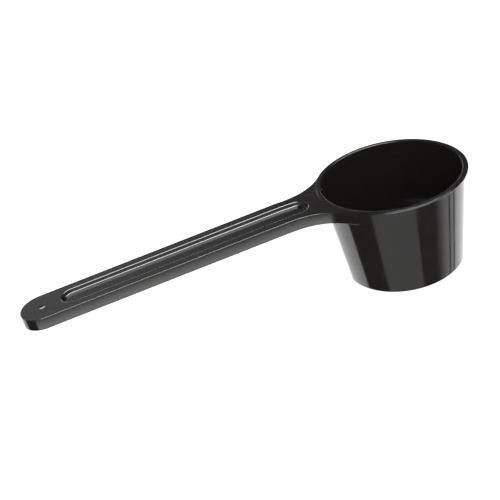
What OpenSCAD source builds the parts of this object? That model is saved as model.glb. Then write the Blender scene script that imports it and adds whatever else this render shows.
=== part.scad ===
// Measuring scoop moulded in one piece: a tapered cup with a thin lip and a low raised rim, and
// a long flat handle that leaves the lip level and then slopes down a little to its round tip.
// The moulding is drawn as its five regions, which meet face to face and nowhere overlap.
// Millimetres, +Z up. The origin is the middle of the base's underside, and the handle runs
// towards -X.

/* [Cup] */
// Diameter over the lip
mouth_d = 44.3; // [40:0.5:60]
// Height from the base to the top of the rim
cup_h = 29.35; // [22:0.1:45]
// Diameter of the base, measured to its sharp corner
base_d = 35.1; // [26:0.1:40]
// Thickness of the wall, measured level
wall_t = 0.9; // [0.7:0.05:1.6]
// Thickness of the floor
floor_t = 1.2; // [0.9:0.05:2.4]
// Radius of the corner round the base
base_corner_r = 0.9; // [0.3:0.05:1.2]

/* [Lip] */
// How far the lip stands out from the wall
lip_overhang = 0.67; // [0.3:0.05:1.5]
// Height of the lip
lip_h = 0.5; // [0.3:0.05:2]
// How far the rim rises above the lip and the handle's root, which are level with each other
rim_rise = 0.25; // [0.1:0.05:1]
// Width of the lip outside the raised rim
lip_ledge = 0.4; // [0.2:0.05:0.6]

/* [Handle] */
// Distance from the cup's axis to the end of the handle
handle_reach = 111.5; // [90:0.1:160]
// Width where the neck ends and the grip starts
handle_root_w = 12.8; // [9:0.1:18]
// Width at the round tip
handle_tip_w = 12.5; // [9:0.1:18]
// Thickness
handle_t = 3.55; // [2.4:0.1:5]
// Angle at which the grip slopes down from the level neck
handle_droop = 2.45; // [0:0.05:5]
// Radius of the blend between the handle's side and the lip
neck_blend_r = 16.5; // [8:0.5:24]
// How far the neck's side stands outside the lip where the two meet
neck_step = 0.2; // [0.1:0.05:0.5]

/* [Groove] */
// Width of the sunk groove along the handle's top, whose ends are round
groove_w = 7; // [4:0.1:8]
// Depth of the groove
groove_depth = 1.2; // [0.5:0.05:1.8]
// Angle between the groove's wall and the upright
groove_draft = 20; // [0:1:30]
// Distance from the lip to the near end of the groove
groove_lip_gap = 3.6; // [2:0.1:12]
// Distance from the handle's tip to the far end of the groove
groove_tip_gap = 11.9; // [8:0.1:40]

/* [Gate mark] */
// Diameter of the shallow round mark near the tip
gate_d = 2.4; // [1.5:0.1:4]
// Depth of the mark
gate_depth = 0.15; // [0.05:0.05:0.4]

/* [Hidden] */

$fn = 96;
moulding_colour = [0.09, 0.085, 0.08];
corner_steps = 6;

// How far a cutting shape runs past the face that it cuts
cut_past = 1;

lip_r = mouth_d / 2;
base_r = base_d / 2;

// Height of the top of the lip and of the handle's root
deck = cup_h - rim_rise;
lip_bottom = deck - lip_h;

// The outer face of the wall is a cone from the base's sharp corner to the top of the cup
wall_taper = atan((lip_r - lip_overhang - base_r) / cup_h);
function wall_outer_r(z) = base_r + z * tan(wall_taper);
function wall_inner_r(z) = wall_outer_r(z) - wall_t;

// The corner round the base touches the underside and the cone, and stays within the floor
corner_r = min(base_corner_r, 0.9 * floor_t);
corner_x = base_r - corner_r * (1 - sin(wall_taper)) / cos(wall_taper);

// Each blend is a circle that touches the handle's side and clears the lip by neck_step.
// The neck ends level with the two circles' centres.
blend_y = handle_root_w / 2 + neck_blend_r;
blend_x = sqrt(pow(lip_r + neck_step + neck_blend_r, 2) - pow(blend_y, 2));

// Along the sloping grip, measured from where it leaves the neck
grip_len = (handle_reach - blend_x) / cos(handle_droop);
tip_r = handle_tip_w / 2;
tip_centre = grip_len - tip_r;
side_taper = (handle_root_w / 2 - tip_r) / tip_centre;

groove_r = groove_w / 2;
groove_start = lip_r + groove_lip_gap + groove_r - blend_x;
groove_end = grip_len - groove_tip_gap - groove_r;

// Points of an arc round the centre, from one angle to the other
function arc(centre, r, from, to) = [
    for (i = [0 : corner_steps])
        let (a = from + (to - from) * i / corner_steps)
            centre + r * [cos(a), sin(a)]
];

// Everything inside the cup's outer faces, which the neck is cut back to
module cup_envelope() {
    rotate_extrude()
        polygon([
            [0, 0],
            [base_r, 0],
            [wall_outer_r(lip_bottom), lip_bottom],
            [lip_r, lip_bottom],
            [lip_r, deck + cut_past],
            [0, deck + cut_past]
        ]);
}

// Outline of the neck, from above: the corner between the two blends, out to their centres
module neck_outline() {
    difference() {
        polygon([[0, 0], [-blend_x, blend_y], [-blend_x, -blend_y]]);
        for (side = [-1, 1])
            translate([-blend_x, side * blend_y])
                circle(r = neck_blend_r);
    }
}

// Outline of the grip, from above, starting a little inside the neck
module grip_outline() {
    start_w = handle_root_w / 2 + cut_past * side_taper;
    polygon([
        [cut_past, -start_w],
        [cut_past, start_w],
        [-tip_centre, tip_r],
        [-tip_centre, -tip_r]
    ]);
    translate([-tip_centre, 0])
        circle(r = tip_r);
}

// The groove's cutting shape, sunk into a top face at z = 0 and measured from the neck's end.
// groove_w is the width in that face, and the leaning wall runs on past it.
module groove_cut() {
    low_r = groove_r - groove_depth * tan(groove_draft);
    high_r = groove_r + cut_past * tan(groove_draft);
    for (x = [groove_start, groove_end])
        translate([-x, 0, -groove_depth])
            cylinder(r1 = low_r, r2 = high_r, h = groove_depth + cut_past);
    translate([-groove_end, 0, 0])
        rotate([90, 0, 90])
            linear_extrude(groove_end - groove_start)
                polygon([
                    [-low_r, -groove_depth],
                    [low_r, -groove_depth],
                    [high_r, cut_past],
                    [-high_r, cut_past]
                ]);
}

module cup_floor() {
    color(moulding_colour)
        rotate_extrude()
            polygon(concat(
                [[0, 0]],
                arc([corner_x, corner_r], corner_r, -90, -wall_taper),
                [[wall_outer_r(floor_t), floor_t], [0, floor_t]]
            ));
}

module cup_wall() {
    color(moulding_colour)
        rotate_extrude()
            polygon([
                [wall_inner_r(floor_t), floor_t],
                [wall_outer_r(floor_t), floor_t],
                [wall_outer_r(lip_bottom), lip_bottom],
                [wall_inner_r(lip_bottom), lip_bottom]
            ]);
}

module rim_lip() {
    color(moulding_colour)
        rotate_extrude()
            polygon([
                [wall_inner_r(lip_bottom), lip_bottom],
                [lip_r, lip_bottom],
                [lip_r, deck],
                [lip_r - lip_ledge, deck],
                [lip_r - lip_ledge, cup_h],
                [wall_inner_r(cup_h), cup_h]
            ]);
}

module handle_neck() {
    color(moulding_colour)
        difference() {
            translate([0, 0, deck - handle_t])
                linear_extrude(handle_t)
                    neck_outline();
            cup_envelope();
            translate([-blend_x, 0, deck])
                groove_cut();
        }
}

module handle_grip() {
    cut_size = 2 * (handle_t + handle_root_w);
    color(moulding_colour)
        difference() {
            translate([-blend_x, 0, deck])
                rotate([0, -handle_droop, 0])
                    difference() {
                        translate([0, 0, -handle_t])
                            linear_extrude(handle_t)
                                grip_outline();
                        groove_cut();
                        translate([-tip_centre, 0, -gate_depth])
                            cylinder(d = gate_d, h = gate_depth + cut_past);
                    }
            translate([-blend_x, -cut_size / 2, deck - cut_size / 2])
                cube(cut_size);
        }
}

cup_floor();
cup_wall();
rim_lip();
handle_neck();
handle_grip();
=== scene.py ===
"""Looks of a black measuring scoop moulded in one piece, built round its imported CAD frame.

Each of the five CAD nodes is replaced by a closed mesh of the same region, with the small
radii that the CAD leaves square. Neighbours share their edge points and normals, so the five
read as one moulding. Lengths are in millimetres, and heights are measured from the deck, the
level top of the lip and the handle's root, until a mesh is made. Turns round the cup's axis
are measured from -X, where the handle is.
"""

from math import atan, atan2, cos, degrees, hypot, pi, radians, sin

import bpy
from mathutils import Matrix, Vector
from mathutils.geometry import delaunay_2d_cdt


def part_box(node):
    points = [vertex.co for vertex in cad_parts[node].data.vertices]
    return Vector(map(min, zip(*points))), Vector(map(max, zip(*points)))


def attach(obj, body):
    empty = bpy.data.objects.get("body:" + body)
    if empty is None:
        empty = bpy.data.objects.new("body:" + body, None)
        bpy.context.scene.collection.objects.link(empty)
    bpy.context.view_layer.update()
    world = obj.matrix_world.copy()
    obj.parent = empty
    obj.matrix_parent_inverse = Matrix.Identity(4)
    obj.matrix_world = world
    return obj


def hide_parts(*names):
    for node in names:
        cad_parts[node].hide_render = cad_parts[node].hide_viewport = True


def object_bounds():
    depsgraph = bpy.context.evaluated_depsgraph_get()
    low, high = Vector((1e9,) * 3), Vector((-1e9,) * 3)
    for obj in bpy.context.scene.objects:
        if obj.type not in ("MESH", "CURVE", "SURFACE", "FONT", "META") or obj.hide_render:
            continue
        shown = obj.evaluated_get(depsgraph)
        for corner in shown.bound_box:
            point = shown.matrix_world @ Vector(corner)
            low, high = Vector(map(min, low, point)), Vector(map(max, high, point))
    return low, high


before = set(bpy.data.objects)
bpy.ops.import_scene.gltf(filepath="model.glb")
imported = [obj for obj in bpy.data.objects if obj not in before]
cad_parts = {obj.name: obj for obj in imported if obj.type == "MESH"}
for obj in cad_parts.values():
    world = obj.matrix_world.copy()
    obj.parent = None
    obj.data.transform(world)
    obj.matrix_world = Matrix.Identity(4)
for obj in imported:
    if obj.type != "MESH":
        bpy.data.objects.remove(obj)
cad_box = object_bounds()

MM = 0.001
BODY = "root"

# ---------------------------------------------------------------- sizes that the CAD gives
lip_low, lip_high = (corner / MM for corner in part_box("rim_lip"))
wall_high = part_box("cup_wall")[1] / MM
floor_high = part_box("cup_floor")[1] / MM
neck_low, neck_high = (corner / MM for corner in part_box("handle_neck"))
grip_low, grip_high = (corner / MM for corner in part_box("handle_grip"))

deck = neck_high.z
rim_top = lip_high.z - deck
lip_r = lip_high.y
lip_bottom = lip_low.z - deck
floor_top = floor_high.z - deck
base = -deck
wall_slope = (wall_high.y - floor_high.y) / (lip_bottom - floor_top)
wall_lean = atan(wall_slope)
handle_t = neck_high.z - neck_low.z
neck_end = -neck_low.x
root_half_w = grip_high.y
reach = -grip_low.x
tip_drop = deck - handle_t - grip_low.z

# ---------------------------------------------------------------- sizes of the details
wall_t = 0.9
lip_ledge = 0.4
tip_r = 6.25
# Angle in degrees between the handle's crowned side, at its edges, and the upright
side_crown = 2.5
groove_half_w = 3.5
groove_depth = 1.2
# Angle in degrees between the groove's wall and the upright
groove_draft = 20
groove_lip_gap = 3.6
groove_tip_gap = 11.9
groove_start = lip_r + groove_lip_gap + groove_half_w
groove_end = reach - groove_tip_gap - groove_half_w
gate_r = 1.2
gate_depth = 0.15
# Width of the gate mark's soft edge
gate_edge = 1.0
# Length over which the handle bends from the level neck to its slope
bend_length = 4.0
# Length along the lip over which the neck's side runs out into the cup
fade_length = 3.0
# How far inside the lip's round lower edge the joint between the lip and the neck lies
joint_inset = 0.05

# Radii of the moulding's edges and inside corners
top_edge_r = 0.12
lip_edge_r = 0.06
lip_lower_r = 0.35
lip_root_r = 0.15
rim_outer_r = 0.05
rim_foot_r = 0.04
rim_inner_r = 0.15
bottom_edge_r = 0.12
groove_edge_r = 0.3
groove_floor_r = 0.35
cup_floor_r = 0.6
base_corner_r = 0.9

# Heights where rows of the wall start: one ring between the lip and the handle's underside,
# the even rows of the outer face, and the even rows of the inner face
upper_ring_z = -2.0
outer_rows_z = -7.0
inner_rows_z = -4.0

# Numbers of steps across the profiles. The rows round the neck and round the cup have to be
# as many, because the patch where the neck runs out joins them one to one.
TOP_STEPS = 5
SIDE_STEPS = 13
BOTTOM_STEPS = 4
UNDER_STEPS = 6
LOWER_STEPS = 5
ROOT_STEPS = 3
RIM_STEPS = 4
WALL_STEPS = 5
CUP_FLOOR_STEPS = 10
BASE_CORNER_STEPS = 8
GROOVE_EDGE_STEPS = 5
GROOVE_FLOOR_STEPS = 6
GATE_EDGE_STEPS = 6

# Numbers of steps round the outlines and along them
NECK_STEPS = 48
FADE_STEPS = 10
CUP_STEPS = 144
BLEND_STEPS = 20
BEND_STEPS = 4
GRIP_STEPS = 9
BEYOND_GROOVE_STEPS = 2
TIP_STEPS = 56
GROOVE_END_STEPS = 32
GATE_STEPS = 40

UP = (0, 0, 1)
DOWN = (0, 0, -1)


def wall_outer(z):
    return floor_high.y + (z - floor_top) * wall_slope


def wall_inner(z):
    return wall_outer(z) - wall_t


# The blend between the handle's side and the lip touches both
blend_r = (neck_end**2 + root_half_w**2 - lip_r**2) / (2 * (lip_r - root_half_w))
blend_turn = atan2(root_half_w + blend_r, neck_end)
fade_turn = blend_turn + fade_length / lip_r

# ---------------------------------------------------------------- meshes
# Points that agree after rounding to this many steps per millimetre are one point
POINT_STEPS = 5000
# The triangulation's settings: it fills the whole hull, and merges points closer than this
FILL_HULL = 0
MERGE_GAP = 1e-6


class Shell:
    """One closed piece: faces whose corners each have their own normal."""

    def __init__(self):
        self.points = []
        self.numbers = {}
        self.faces = []
        self.normals = []

    def number(self, point):
        key = tuple(round(part * POINT_STEPS) for part in point)
        if key not in self.numbers:
            self.numbers[key] = len(self.points)
            self.points.append(point)
        return self.numbers[key]

    def face(self, corners):
        """Adds a face of (point, normal) corners, turned so that it faces along its normals."""
        kept = []
        for point, normal in corners:
            number = self.number(point)
            if all(number != other for other, _ in kept):
                kept.append((number, normal))
        if len(kept) < 3:
            return
        area = Vector((0, 0, 0))
        facing = Vector((0, 0, 0))
        for (here, normal), (there, _) in zip(kept, kept[1:] + kept[:1]):
            area += Vector(self.points[here]).cross(Vector(self.points[there]))
            facing += Vector(normal)
        if area.dot(facing) < 0:
            kept.reverse()
        self.faces.append([number for number, _ in kept])
        self.normals.extend(normal for _, normal in kept)

    def grid(self, rows):
        """Adds quads between rows of (point, normal) corners."""
        for upper, lower in zip(rows, rows[1:]):
            for i in range(len(upper) - 1):
                self.face([upper[i], upper[i + 1], lower[i + 1], lower[i]])

    def flat(self, loops, place, normal):
        """Fills the region between closed 2D loops. place turns a 2D point into a 3D one."""
        points = []
        edges = []
        for loop in loops:
            start = len(points)
            points.extend(loop)
            for i in range(len(loop)):
                edges.append((start + i, start + (i + 1) % len(loop)))
        flat_points = [Vector(point) for point in points]
        filled = delaunay_2d_cdt(flat_points, edges, [], FILL_HULL, MERGE_GAP)
        _, _, triangles, origins, _, _ = filled
        sources = [points[origin[0]] for origin in origins]
        for triangle in triangles:
            corners = [sources[i] for i in triangle]
            middle = [sum(corner[axis] for corner in corners) / 3 for axis in (0, 1)]
            if inside(middle, loops):
                self.face([(place(corner), normal) for corner in corners])

    def build(self, name):
        mesh = bpy.data.meshes.new(name)
        lifted = [(x * MM, y * MM, (z + deck) * MM) for x, y, z in self.points]
        mesh.from_pydata(lifted, [], self.faces)
        mesh.shade_smooth()
        mesh.normals_split_custom_set([Vector(normal).normalized() for normal in self.normals])
        piece = bpy.data.objects.new(name, mesh)
        bpy.context.collection.objects.link(piece)
        return piece


def inside(point, loops):
    """Even-odd test of a 2D point against closed loops."""
    crossings = 0
    for loop in loops:
        for (x0, y0), (x1, y1) in zip(loop, loop[1:] + loop[:1]):
            if (y0 > point[1]) != (y1 > point[1]):
                if x0 + (point[1] - y0) * (x1 - x0) / (y1 - y0) > point[0]:
                    crossings += 1
    return crossings % 2 == 1


def steps(start, end, count):
    return [start + (end - start) * i / count for i in range(count + 1)]


def smooth(share):
    """Runs from 0 to 1 as share does, level at both ends."""
    return share * share * (3 - 2 * share)


def smooth_slope(share):
    return 6 * share * (1 - share)


def arc(centre, radius, start, end, count, hollow=False):
    """Profile rows (distance, height, normal out, normal up) along an arc, angles in degrees."""
    rows = []
    facing = -1 if hollow else 1
    for angle in steps(radians(start), radians(end), count):
        out, up = cos(angle), sin(angle)
        rows.append((centre[0] + radius * out, centre[1] + radius * up, facing * out, facing * up))
    return rows


def level_rows(radii, height, up):
    """Profile rows of a flat ring, whose normals point up (1) or down (-1)."""
    return [(radius, height, 0, up) for radius in radii]


def polar(turn, row, aside=0.0):
    """The (point, normal) corner of a profile row, turned round the cup's axis from -X."""
    distance, height, out, up = row
    point = (-distance * cos(turn), distance * sin(turn), height)
    normal = (-out * cos(turn) + aside * sin(turn), out * sin(turn) + aside * cos(turn), up)
    return point, normal


def turned(shell, rows, turns):
    shell.grid([[polar(turn, row) for turn in turns] for row in rows])


def beside(spot, facing, row, edge):
    """The (point, normal) corner of a profile row, set against an outline's point."""
    distance, height, out, up = row
    shift = distance - edge
    point = (spot[0] + shift * facing[0], spot[1] + shift * facing[1], height)
    return point, (out * facing[0], out * facing[1], up)


# ---------------------------------------------------------------- profiles
lean = degrees(wall_lean)
wall_facing = (cos(wall_lean), -sin(wall_lean))


def wall_rows(heights):
    """Profile rows of the wall's outer face."""
    return [(wall_outer(z), z, *wall_facing) for z in heights]


# The first row is where the neck's top edge starts, so the arc has one step fewer than that one
lip_edge_rows = arc((lip_r - lip_edge_r, -lip_edge_r), lip_edge_r, 90, 0, TOP_STEPS - 1)
top_rows = [(lip_r - top_edge_r, 0, 0, 1)] + lip_edge_rows

# The foot of the neck's fillet on the wall
under_r = lip_r - bottom_edge_r
under_gap = under_r - wall_outer(-handle_t)
under_fillet_r = under_gap * cos(wall_lean) / (1 - sin(wall_lean))
under_centre = (under_r, -handle_t - under_fillet_r)
under_rows = arc(under_centre, under_fillet_r, 90, 180 - lean, UNDER_STEPS, hollow=True)

# Round the neck: top edge, slightly crowned side, lower edge, then the fillet into the wall
neck_top_rows = arc((lip_r - top_edge_r, -top_edge_r), top_edge_r, 90, side_crown, TOP_STEPS)
bottom_centre = (lip_r - bottom_edge_r, bottom_edge_r - handle_t)
bottom_rows = arc(bottom_centre, bottom_edge_r, -side_crown, -90, BOTTOM_STEPS)
crown_half = (neck_top_rows[-1][1] - bottom_rows[0][1]) / 2
crown_r = crown_half / sin(radians(side_crown))
crown_centre = neck_top_rows[-1][0] - crown_r * cos(radians(side_crown))
crown_rows = arc((crown_centre, -handle_t / 2), crown_r, side_crown, -side_crown, SIDE_STEPS)
edge_rows = neck_top_rows + crown_rows[1:-1] + bottom_rows
neck_rows = edge_rows + under_rows[1:]
side_bulge = crown_centre + crown_r - lip_r

# Round the cup: top edge, lower edge, the lip's underside, a small fillet, then the wall
lip_lower_centre = (lip_r - lip_lower_r, lip_bottom + lip_lower_r)
lip_lower_rows = arc(lip_lower_centre, lip_lower_r, 0, -90, LOWER_STEPS)
joint_r = lip_r - top_edge_r
joint_low_r = lip_r - lip_lower_r - joint_inset
root_z = lip_bottom - lip_root_r
root_r = wall_outer(root_z) + lip_root_r / cos(wall_lean)
root_rows = arc((root_r, root_z), lip_root_r, 90, 180 - lean, ROOT_STEPS, hollow=True)
lip_rows = top_rows + lip_lower_rows + [(joint_low_r, lip_bottom, 0, -1)]
upper_wall_heights = [upper_ring_z] + [row[1] for row in bottom_rows + under_rows[1:]]
cup_rows = lip_rows + root_rows + wall_rows(upper_wall_heights)

# ---------------------------------------------------------------- turns round the axis
neck_turns = steps(-blend_turn, blend_turn, NECK_STEPS)
fade_turns = steps(blend_turn, fade_turn, FADE_STEPS)
mirrored_fade = [-turn for turn in reversed(fade_turns)]
cup_turns = steps(fade_turn, 2 * pi - fade_turn, CUP_STEPS)
joint_turns = mirrored_fade[:-1] + neck_turns + fade_turns[1:]
all_turns = joint_turns + cup_turns[1:]


def end_face(shell, rows, turn, towards_neck):
    """Closes a profile with a flat face across it at a turn, facing the neck or away from it."""
    aside = -1 if (turn > 0) == towards_neck else 1
    shell.face([polar(turn, (row[0], row[1], 0, 0), aside) for row in rows])


wall_corner = (wall_outer(lip_bottom), lip_bottom)

# ---------------------------------------------------------------- lip
lip = Shell()
turned(lip, lip_rows, cup_turns)
turned(lip, [(joint_r, 0, 1, 0), (joint_low_r, lip_bottom, 1, 0)], joint_turns)
for turn in (fade_turn, -fade_turn):
    end_face(lip, lip_rows, turn, True)
ledge_r = lip_r - lip_ledge
inner_z = rim_top - rim_inner_r * (1 - sin(wall_lean))
inner_r = wall_inner(inner_z) + rim_inner_r * cos(wall_lean)
rim_foot = (ledge_r + rim_foot_r, rim_foot_r)
rim_rows = [(joint_r, 0, 0, 1)]
rim_rows += arc(rim_foot, rim_foot_r, -90, -180, RIM_STEPS, hollow=True)
rim_rows += arc((ledge_r - rim_outer_r, rim_top - rim_outer_r), rim_outer_r, 0, 90, RIM_STEPS)
rim_rows += arc((inner_r, rim_top - rim_inner_r), rim_inner_r, 90, 180 - lean, RIM_STEPS)
rim_rows += [(wall_inner(lip_bottom), lip_bottom, -wall_facing[0], -wall_facing[1])]
turned(lip, rim_rows, all_turns)
lip_under = [wall_inner(lip_bottom), wall_corner[0], root_r, joint_low_r]
turned(lip, level_rows(lip_under, lip_bottom, -1), all_turns)

# ---------------------------------------------------------------- wall
wall = Shell()
turned(wall, root_rows, cup_turns)
lower_heights = steps(outer_rows_z, floor_top, WALL_STEPS)
turned(wall, wall_rows([root_rows[-1][1]] + upper_wall_heights + lower_heights), all_turns)
turned(wall, wall_rows([lip_bottom, root_rows[-1][1]]), joint_turns)
for turn in (fade_turn, -fade_turn):
    end_face(wall, root_rows + [wall_corner], turn, True)
turned(wall, level_rows([wall_corner[0], root_r], lip_bottom, 1), cup_turns)
turned(wall, level_rows([wall_inner(lip_bottom), wall_corner[0]], lip_bottom, 1), all_turns)
foot_z = floor_top + cup_floor_r * (1 - sin(wall_lean))
foot_r = wall_inner(foot_z) - cup_floor_r * cos(wall_lean)
foot_centre = (foot_r, floor_top + cup_floor_r)
foot_rows = arc(foot_centre, cup_floor_r, -lean, -90, CUP_FLOOR_STEPS, hollow=True)
# The last of the inner heights is where the foot's arc starts
inner_heights = [lip_bottom] + steps(inner_rows_z, foot_z, WALL_STEPS)[:-1]
inner_rows = [(wall_inner(z), z, -wall_facing[0], -wall_facing[1]) for z in inner_heights]
turned(wall, inner_rows + foot_rows, all_turns)
turned(wall, level_rows([foot_r, wall_outer(floor_top)], floor_top, -1), all_turns)

# ---------------------------------------------------------------- floor
cup_floor = Shell()
floor_radii = [0, foot_r / 2, foot_r, wall_outer(floor_top)]
turned(cup_floor, level_rows(floor_radii, floor_top, 1), all_turns)
corner_r = wall_outer(base) - base_corner_r * (1 - sin(wall_lean)) / cos(wall_lean)
corner_centre = (corner_r, base + base_corner_r)
corner_rows = arc(corner_centre, base_corner_r, -lean, -90, BASE_CORNER_STEPS)
turned(cup_floor, wall_rows([floor_top]) + corner_rows, all_turns)
turned(cup_floor, level_rows([corner_r, corner_r / 2, 0], base, -1), all_turns)

# ---------------------------------------------------------------- groove
# How far out from the groove's edge its upper radius meets the deck, and its lower radius
# meets the groove's floor
draft = radians(groove_draft)
groove_rim = groove_edge_r * (1 - sin(draft)) / cos(draft)
groove_foot = ((groove_floor_r - groove_depth) * sin(draft) - groove_floor_r) / cos(draft)

# Rows (distance out from the groove's edge, height, normal out, normal up), from the top
groove_profile = arc(
    (groove_rim, -groove_edge_r),
    groove_edge_r,
    90,
    180 - groove_draft,
    GROOVE_EDGE_STEPS,
)
groove_profile += arc(
    (groove_foot, groove_floor_r - groove_depth),
    groove_floor_r,
    -groove_draft,
    -90,
    GROOVE_FLOOR_STEPS,
    hollow=True,
)


def groove_side(shell, spots):
    shell.grid([[beside(spot, facing, row, 0) for spot, facing in spots] for row in groove_profile])


def round_end(centre_x, radius, count, towards):
    """Points and facings of a half circle, from +Y round to -Y. towards is 1 for +X, -1 for -X."""
    spots = []
    for angle in steps(0, pi, count):
        facing = (towards * sin(angle), cos(angle))
        spots.append(((centre_x + radius * facing[0], radius * facing[1]), facing))
    return spots


def moved(spots, shift):
    return [(spot[0] + shift * facing[0], spot[1] + shift * facing[1]) for spot, facing in spots]


def mirrored(spots):
    return [((x, -y), (across, -along)) for (x, y), (across, along) in spots]


def level(height):
    return lambda point: (point[0], point[1], height)


# ---------------------------------------------------------------- neck
neck = Shell()
blend_spots = []
for sweep in steps(0, pi / 2 - blend_turn, BLEND_STEPS):
    facing = (-sin(sweep), cos(sweep))
    spot = (-neck_end - blend_r * facing[0], root_half_w + blend_r - blend_r * facing[1])
    blend_spots.append((spot, facing))

for spots in (blend_spots, mirrored(blend_spots)):
    neck.grid([[beside(spot, facing, row, lip_r) for spot, facing in spots] for row in edge_rows])


def fade_corner(turn, index):
    """A corner of the patch where the neck's side runs out into the lip and the wall.

    Its normals leave out the patch's own small slope round the cup, so that the light runs on
    smoothly from the neck to the wall.
    """
    weight = smooth((abs(turn) - blend_turn) / (fade_turn - blend_turn))
    start, end = neck_rows[index], cup_rows[index]
    row = [a + (b - a) * weight for a, b in zip(start[:2], end[:2])]
    along = [0.0, 0.0]
    for rows, part in ((neck_rows, 1 - weight), (cup_rows, weight)):
        before, after = rows[max(index - 1, 0)], rows[min(index + 1, len(rows) - 1)]
        speed = hypot(after[0] - before[0], after[1] - before[1]) * part
        along[0] += rows[index][3] * speed
        along[1] -= rows[index][2] * speed
    size = hypot(*along)
    return polar(turn, (*row, -along[1] / size, along[0] / size))


for turns in (fade_turns, mirrored_fade):
    neck.grid([[fade_corner(turn, index) for turn in turns] for index in range(len(neck_rows))])
turned(neck, under_rows, neck_turns)

# The faces against the lip and the wall
turned(neck, [(joint_r, 0, -1, 0), (joint_low_r, lip_bottom, -1, 0)], joint_turns)
turned(neck, level_rows([joint_low_r, root_r, wall_corner[0]], lip_bottom, 1), joint_turns)
joint_heights = [lip_bottom, root_rows[-1][1]] + upper_wall_heights
joint_cone = [(wall_outer(z), z, -wall_facing[0], -wall_facing[1]) for z in joint_heights]
turned(neck, joint_cone, joint_turns)
for turn in (fade_turn, -fade_turn):
    end_face(neck, lip_rows, turn, False)
    end_face(neck, root_rows + [wall_corner], turn, False)

# The groove's near end, from the neck's end round and back to it
groove_root = [((-neck_end, groove_half_w), (0, 1))]
groove_root += round_end(-groove_start, groove_half_w, GROOVE_END_STEPS, 1)
groove_root += [((-neck_end, -groove_half_w), (0, -1))]
groove_side(neck, groove_root)
neck.flat([moved(groove_root, groove_foot)], level(-groove_depth), UP)


def round_lip(radius):
    return [polar(turn, (radius, 0, 0, 0))[0][:2] for turn in reversed(neck_turns[1:-1])]


def neck_loop(edge_r, lip_side_r):
    """Outline of the neck's top or underside: both blends, moved in, and the arc at the lip."""
    other_side = moved(reversed(mirrored(blend_spots)), -edge_r)
    return moved(blend_spots, -edge_r) + round_lip(lip_side_r) + other_side


top_loop = neck_loop(top_edge_r, joint_r) + moved(groove_root, groove_rim)[::-1]
neck.flat([top_loop], level(0), UP)
neck.flat([neck_loop(bottom_edge_r, under_r)], level(-handle_t), DOWN)


def section_loop():
    """Outline (across, height) of the handle where the neck meets the grip."""
    groove_half = [(groove_half_w + row[0], row[1]) for row in reversed(groove_profile)]
    side_half = [(root_half_w + row[0] - lip_r, row[1]) for row in edge_rows]
    half = groove_half + side_half
    return half + [(-across, height) for across, height in reversed(half)]


def in_section(point):
    return (-neck_end, point[0], point[1])


section = section_loop()
neck.flat([section], in_section, (-1, 0, 0))

# ---------------------------------------------------------------- grip
tip_x = tip_r + side_bulge - reach
droop_slope = tip_drop / (reach - neck_end - bend_length / 2)


class BentShell(Shell):
    """A piece drawn level, then sheared down past the neck's end, with a smooth bend first."""

    def face(self, corners):
        super().face([self.bend(point, normal) for point, normal in corners])

    def bend(self, point, normal):
        past = -neck_end - point[0]
        if past <= 0:
            return point, normal
        if past < bend_length:
            drop = droop_slope * past * past / (2 * bend_length)
            slope = droop_slope * past / bend_length
        else:
            drop = droop_slope * (past - bend_length / 2)
            slope = droop_slope
        bent = (normal[0] - slope * normal[2], normal[1], normal[2])
        return (point[0], point[1], point[2] - drop), bent


def half_width(x):
    return root_half_w + (tip_r - root_half_w) * (x + neck_end) / (tip_x + neck_end)


bend_stations = steps(-neck_end, -neck_end - bend_length, BEND_STEPS)
grip_stations = bend_stations + steps(bend_stations[-1], -groove_end, GRIP_STEPS)[1:]
tip_stations = steps(-groove_end, tip_x, BEYOND_GROOVE_STEPS)[1:]
stations = grip_stations + tip_stations

grip = BentShell()
straight = [((x, half_width(x)), (0, 1)) for x in stations]
outline = straight + round_end(tip_x, tip_r, TIP_STEPS, -1)[1:-1] + mirrored(straight)[::-1]
grip.grid([[beside(spot, facing, row, lip_r) for spot, facing in outline] for row in edge_rows])


def strips(xs, near, far, height, normal):
    """Quads across the grip between its stations, from one side distance to the other."""
    grip.grid([[((x, side(x), height), normal) for x in xs] for side in (near, far)])


for side in (1, -1):
    strips(
        grip_stations,
        lambda x: side * (groove_half_w + groove_rim),
        lambda x: side * (half_width(x) - top_edge_r),
        0,
        UP,
    )
strips(
    stations,
    lambda x: half_width(x) - bottom_edge_r,
    lambda x: bottom_edge_r - half_width(x),
    -handle_t,
    DOWN,
)
floor_half_w = groove_half_w + groove_foot
strips(grip_stations, lambda x: floor_half_w, lambda x: -floor_half_w, -groove_depth, UP)

groove_tip = round_end(-groove_end, groove_half_w, GROOVE_END_STEPS, -1)
groove_edges = [((x, groove_half_w), (0, 1)) for x in grip_stations[:-1]]
groove_side(grip, groove_edges + groove_tip + mirrored(groove_edges)[::-1])
grip.flat([moved(groove_tip, groove_foot)], level(-groove_depth), UP)

# The top past the groove, round the tip
tip_spots = round_end(tip_x, tip_r, TIP_STEPS, -1)
tip_sides = [((x, half_width(x)), (0, 1)) for x in [-groove_end] + tip_stations[:-1]]
end_spots = tip_sides + tip_spots + mirrored(tip_sides)[::-1]
end_loop = moved(end_spots, -top_edge_r) + moved(groove_tip, groove_rim)[::-1]

# The gate mark: a shallow round dish with a soft edge
gate_rows = []
for share in steps(0, 1, GATE_EDGE_STEPS):
    slope = -smooth_slope(share) * gate_depth / gate_edge
    size = hypot(slope, 1)
    sink = -gate_depth * smooth(share)
    gate_rows.append((gate_r - gate_edge * share, sink, slope / size, 1 / size))
gate_angles = steps(0, 2 * pi, GATE_STEPS)


def gate_corner(row, angle):
    out = (cos(angle), sin(angle))
    point = (tip_x + row[0] * out[0], row[0] * out[1], row[1])
    return point, (row[2] * out[0], row[2] * out[1], row[3])


def gate_loop(row):
    return [gate_corner(row, angle)[0][:2] for angle in gate_angles[:-1]]


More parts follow.
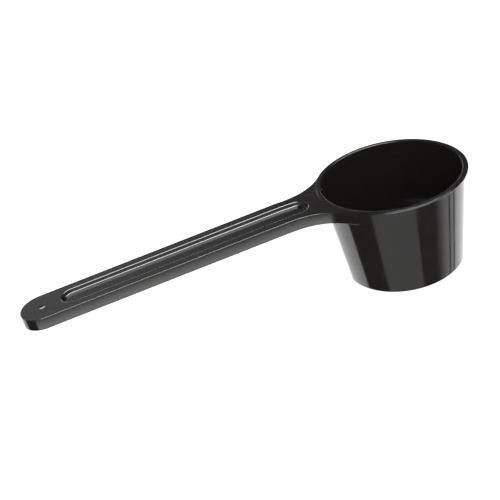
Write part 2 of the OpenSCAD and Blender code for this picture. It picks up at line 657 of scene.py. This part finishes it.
grip.grid([[gate_corner(row, angle) for angle in gate_angles] for row in gate_rows])
grip.flat([end_loop, gate_loop(gate_rows[0])], level(0), UP)
grip.flat([gate_loop(gate_rows[-1])], level(-gate_depth), UP)
grip.flat([moved(tip_spots, -bottom_edge_r)], level(-handle_t), DOWN)
grip.flat([section], in_section, (1, 0, 0))

# ---------------------------------------------------------------- pieces
pieces = []
for shell, node in (
    (cup_floor, "cup_floor"),
    (wall, "cup_wall"),
    (lip, "rim_lip"),
    (neck, "handle_neck"),
    (grip, "handle_grip"),
):
    piece = shell.build("scoop_" + node)
    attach(piece, BODY)
    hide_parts(node)
    pieces.append(piece)

# ---------------------------------------------------------------- nodes
# Places of the colour mix's sockets, which share their names with its other types
MIX_FIRST_COLOUR = 6
MIX_SECOND_COLOUR = 7
MIX_RESULT = 2


class Graph:
    """Short calls for making the nodes of a material or a world."""

    def __init__(self, tree):
        self.tree = tree
        tree.nodes.clear()

    def node(self, kind, inputs=(), **settings):
        made = self.tree.nodes.new(kind)
        for name, value in settings.items():
            setattr(made, name, value)
        for name, value in dict(inputs).items():
            self.set(made.inputs[name], value)
        return made

    def set(self, socket, value):
        if isinstance(value, bpy.types.NodeSocket):
            self.tree.links.new(value, socket)
        else:
            socket.default_value = value

    def math(self, operation, *values):
        made = self.node("ShaderNodeMath", operation=operation)
        for socket, value in zip(made.inputs, values):
            self.set(socket, value)
        return made.outputs[0]

    def ramp(self, value, start, end, low, high):
        """Value mapped smoothly from start..end to low..high."""
        inputs = {
            "Value": value,
            "From Min": start,
            "From Max": end,
            "To Min": low,
            "To Max": high,
        }
        made = self.node("ShaderNodeMapRange", inputs, interpolation_type="SMOOTHSTEP")
        return made.outputs[0]


# ---------------------------------------------------------------- plastic
POLISHED = 0.09
BLOOMED = 0.14
SCUFF_ROUGHNESS = 0.015
PEEL_HEIGHT = 0.01
DARK = (0.0088, 0.0081, 0.0075, 1)
LESS_DARK = (0.0102, 0.0094, 0.0087, 1)


def black_plastic():
    material = bpy.data.materials.new("black_plastic")
    material.use_nodes = True
    graph = Graph(material.node_tree)
    place = graph.node("ShaderNodeTexCoord").outputs["Object"]

    def noise(scale, detail, stretch=(1, 1, 1)):
        spread = graph.node("ShaderNodeMapping", {"Vector": place, "Scale": stretch})
        inputs = {"Vector": spread.outputs[0], "Scale": scale, "Detail": detail, "Roughness": 0.5}
        return graph.node("ShaderNodeTexNoise", inputs).outputs["Fac"]

    # Polished skin: slow flow waviness, faint orange peel, a duller bloom here and there, and
    # light scuffs along the handle
    flow = noise(scale=60, detail=1, stretch=(0.4, 1, 1))
    peel = noise(scale=900, detail=2)
    bloom = noise(scale=140, detail=4)
    scuffs = noise(scale=1500, detail=3, stretch=(0.08, 1, 1))
    scuffed = graph.ramp(scuffs, start=0.7, end=0.8, low=0, high=1)
    rough = graph.ramp(bloom, start=0.35, end=0.7, low=POLISHED, high=BLOOMED)
    rough = graph.math("ADD", rough, graph.math("MULTIPLY", scuffed, SCUFF_ROUGHNESS))
    tint = graph.node("ShaderNodeMix", {"Factor": bloom}, data_type="RGBA")
    graph.set(tint.inputs[MIX_FIRST_COLOUR], DARK)
    graph.set(tint.inputs[MIX_SECOND_COLOUR], LESS_DARK)
    height = graph.math("ADD", flow, graph.math("MULTIPLY", peel, PEEL_HEIGHT))
    bump = graph.node("ShaderNodeBump", {"Strength": 0.03, "Distance": 0.001, "Height": height})
    shader = graph.node(
        "ShaderNodeBsdfPrincipled",
        {
            "Base Color": tint.outputs[MIX_RESULT],
            "Roughness": rough,
            "IOR": 1.5,
            "Normal": bump.outputs[0],
        },
    )
    out = graph.node("ShaderNodeOutputMaterial")
    graph.set(out.inputs["Surface"], shader.outputs[0])
    return material


plastic = black_plastic()
for piece in pieces:
    piece.data.materials.append(plastic)

# ---------------------------------------------------------------- stage
FLOOR_SIZE = 6.0
floor_mesh = bpy.data.meshes.new("floor")
half = FLOOR_SIZE / 2
floor_mesh.from_pydata(
    [(-half, -half, 0), (half, -half, 0), (half, half, 0), (-half, half, 0)], [], [(0, 1, 2, 3)]
)
floor_stage = bpy.data.objects.new("floor", floor_mesh)
bpy.context.collection.objects.link(floor_stage)
floor_stage.visible_glossy = False
floor_stage.visible_shadow = False
floor_material = bpy.data.materials.new("floor_white")
floor_material.use_nodes = True
graph = Graph(floor_material.node_tree)
paper = graph.node(
    "ShaderNodeBsdfPrincipled",
    {
        "Base Color": (0.5, 0.5, 0.5, 1),
        "Roughness": 0.9,
        "Emission Color": (1, 1, 1, 1),
        "Emission Strength": 0.8,
    },
)
out = graph.node("ShaderNodeOutputMaterial")
graph.set(out.inputs["Surface"], paper.outputs[0])
floor_mesh.materials.append(floor_material)

# Light from every direction: in the gloss, and on dull surfaces and for the camera
GLOSS_LIGHT = 0.05
SOFT_LIGHT = 1.2


def studio():
    """A white room for the camera and for soft light; softboxes and dark gaps for the gloss."""
    world = bpy.data.worlds.new("studio")
    bpy.context.scene.world = world
    world.use_nodes = True
    graph = Graph(world.node_tree)
    direction = graph.node("ShaderNodeTexCoord").outputs["Generated"]
    parts = graph.node("ShaderNodeSeparateXYZ", {"Vector": direction})
    x, y, z = parts.outputs
    to_degrees = 180 / pi
    around = graph.math("MULTIPLY", graph.math("ARCTAN2", y, x), to_degrees)
    height = graph.math("MULTIPLY", graph.math("ARCSINE", z), to_degrees)

    def between(value, first, last):
        """1 between two edges and 0 outside them, each edge (angle, softness)."""
        rise = graph.ramp(value, first[0] - first[1], first[0] + first[1], 0, 1)
        fall = graph.ramp(value, last[0] - last[1], last[0] + last[1], 1, 0)
        return graph.math("MULTIPLY", rise, fall)

    def panel(low, high, left, right, light):
        """Light between two heights, and between two directions counted from +X towards +Y.

        Each of the four edges is (angle in degrees, softness). Without a left and a right edge
        the panel goes all the way round.
        """
        shape = between(height, low, high)
        if left:
            shape = graph.math("MULTIPLY", shape, between(around, left, right))
        return graph.math("MULTIPLY", shape, light)

    panels = [
        # Upper softbox, in front
        panel(low=(38, 3), high=(85, 3), left=(-130, 6), right=(10, 6), light=30),
        # A weaker one below it
        panel(low=(14, 8), high=(38, 3), left=(-150, 8), right=(-80, 15), light=3.5),
        # Horizon, brighter behind
        panel(low=(-8, 4), high=(14, 10), left=None, right=None, light=0.6),
        panel(low=(-6, 4), high=(20, 4), left=(56, 6), right=(112, 6), light=3.6),
        # Glow behind the handle
        panel(low=(12, 10), high=(58, 6), left=(85, 18), right=(178, 10), light=0.7),
        # Low panels: left, left front, right front, two right ones with dark gaps, and right
        panel(low=(-58, 3), high=(-10, 6), left=(94, 12), right=(157.5, 0.8), light=2.2),
        panel(low=(-58, 3), high=(-41, 1.5), left=(-153.5, 1.2), right=(-77, 1.2), light=0.93),
        panel(low=(-58, 3), high=(-10, 6), left=(-30, 16), right=(-11.5, 1.2), light=1.7),
        panel(low=(-58, 3), high=(-10, 6), left=(-7.6, 1.2), right=(1, 0.8), light=1.8),
        panel(low=(-58, 3), high=(-10, 6), left=(5.5, 3), right=(109, 6), light=2.6),
        # Front glow on the handle's side, brighter below
        panel(low=(-40.5, 1.5), high=(-28, 8), left=(-142, 5), right=(-55, 8), light=4.2),
    ]
    total = GLOSS_LIGHT
    for one in panels:
        total = graph.math("ADD", one, total)
    gloss = graph.node("ShaderNodeBackground", {"Strength": total})
    front = panel(low=(26, 4), high=(50, 4), left=(-140, 8), right=(-20, 8), light=3)
    soft_light = graph.math("ADD", front, SOFT_LIGHT)
    soft = graph.node("ShaderNodeBackground", {"Strength": soft_light})
    path = graph.node("ShaderNodeLightPath").outputs
    # Light that has already met a dull surface stays soft, or it would make bright specks
    direct = graph.math("LESS_THAN", path["Diffuse Depth"], 0.5)
    glossy = graph.math("MULTIPLY", path["Is Glossy Ray"], direct)
    mix = graph.node("ShaderNodeMixShader", {"Fac": glossy})
    graph.set(mix.inputs[1], soft.outputs[0])
    graph.set(mix.inputs[2], gloss.outputs[0])
    out = graph.node("ShaderNodeOutputWorld")
    graph.set(out.inputs["Surface"], mix.outputs[0])
    world.cycles.sampling_method = "NONE"


studio()
bpy.context.scene.view_settings.view_transform = "Standard"

# ---------------------------------------------------------------- camera
LENS = 78.92
SENSOR = 36
CLIP_START = 0.01
CAMERA_AWAY = 310.2
CAMERA_ROUND = radians(-9.9194)
CAMERA_UP = radians(30.0683)
CAMERA_ROLL = radians(14.3399)
TARGET_SHIFT = Vector((-0.719, -1.695, 7.311))

middle = (cad_box[0] + cad_box[1]) / 2
target = middle + TARGET_SHIFT * MM
back_x = sin(CAMERA_ROUND) * cos(CAMERA_UP)
back_y = -cos(CAMERA_ROUND) * cos(CAMERA_UP)
back = Vector((back_x, back_y, sin(CAMERA_UP)))
level_right = Vector((cos(CAMERA_ROUND), sin(CAMERA_ROUND), 0))
level_up = back.cross(level_right)
right = level_right * cos(CAMERA_ROLL) - level_up * sin(CAMERA_ROLL)
up = level_up * cos(CAMERA_ROLL) + level_right * sin(CAMERA_ROLL)
camera_data = bpy.data.cameras.new("camera")
camera_data.lens = LENS
camera_data.sensor_width = SENSOR
camera_data.clip_start = CLIP_START
camera = bpy.data.objects.new("camera", camera_data)
bpy.context.collection.objects.link(camera)
turn_matrix = Matrix((right, up, back)).transposed().to_4x4()
camera.matrix_world = Matrix.Translation(target + back * CAMERA_AWAY * MM) @ turn_matrix
bpy.context.scene.camera = camera
